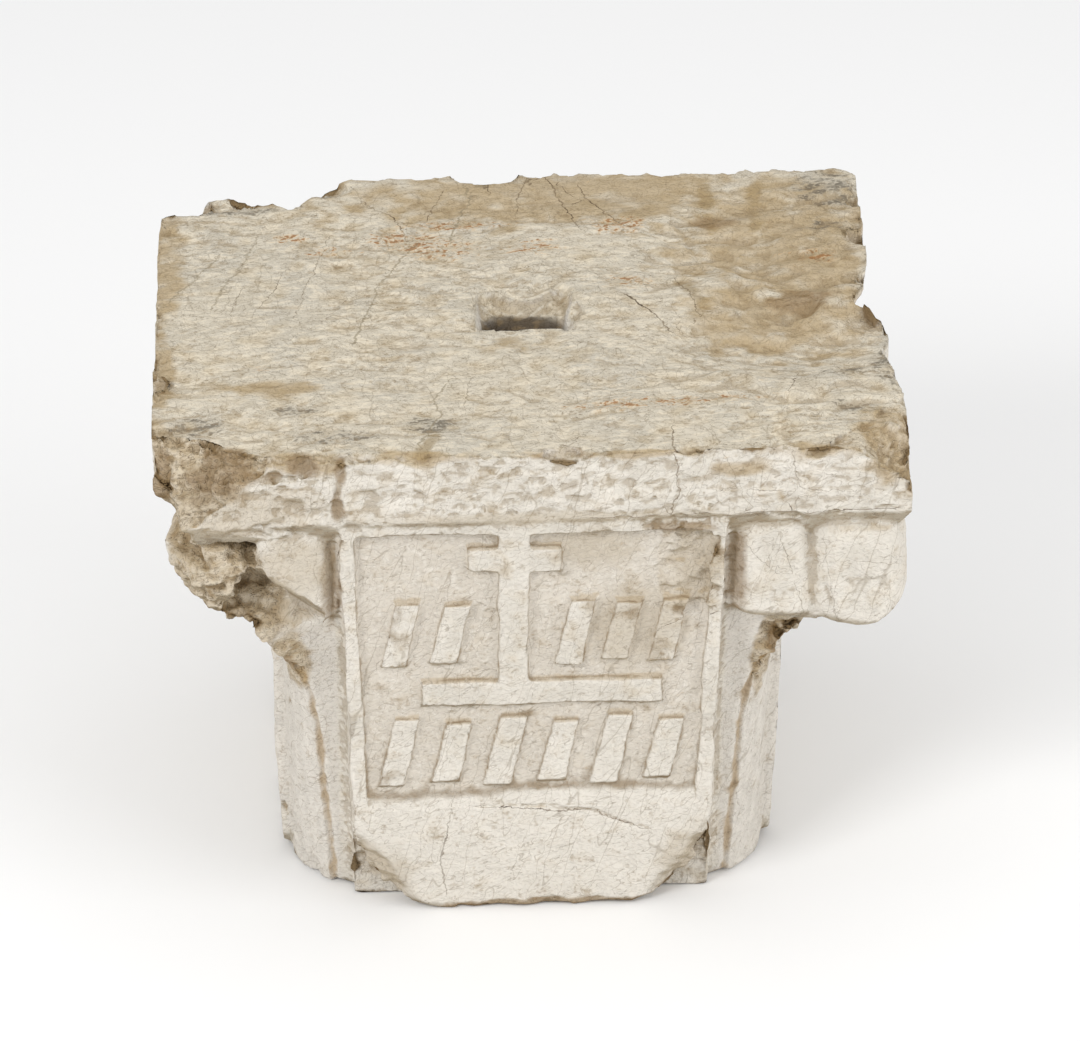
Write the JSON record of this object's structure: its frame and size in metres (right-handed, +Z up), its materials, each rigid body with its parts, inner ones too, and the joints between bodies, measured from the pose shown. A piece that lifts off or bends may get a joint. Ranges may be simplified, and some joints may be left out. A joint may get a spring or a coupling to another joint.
{
  "type": "romanesque capital",
  "caption": "Weathered carved stone capital: rectangular abacus over a squarish body with tongue panels, corner leaves and volutes, a cross and raised strokes in front.",
  "frame": {"origin": "middle of the underside, in plan the middle of the abacus", "axes": "+Z up, the carved front faces -Y, +X to the right of a viewer in front"},
  "size_m": [0.3888, 0.317, 0.292],
  "materials": {
    "stone": "weathered, matt, broken in places"
  },
  "bodies": {
    "root": {"capital": "stone"}
  },
  "joints": []
}
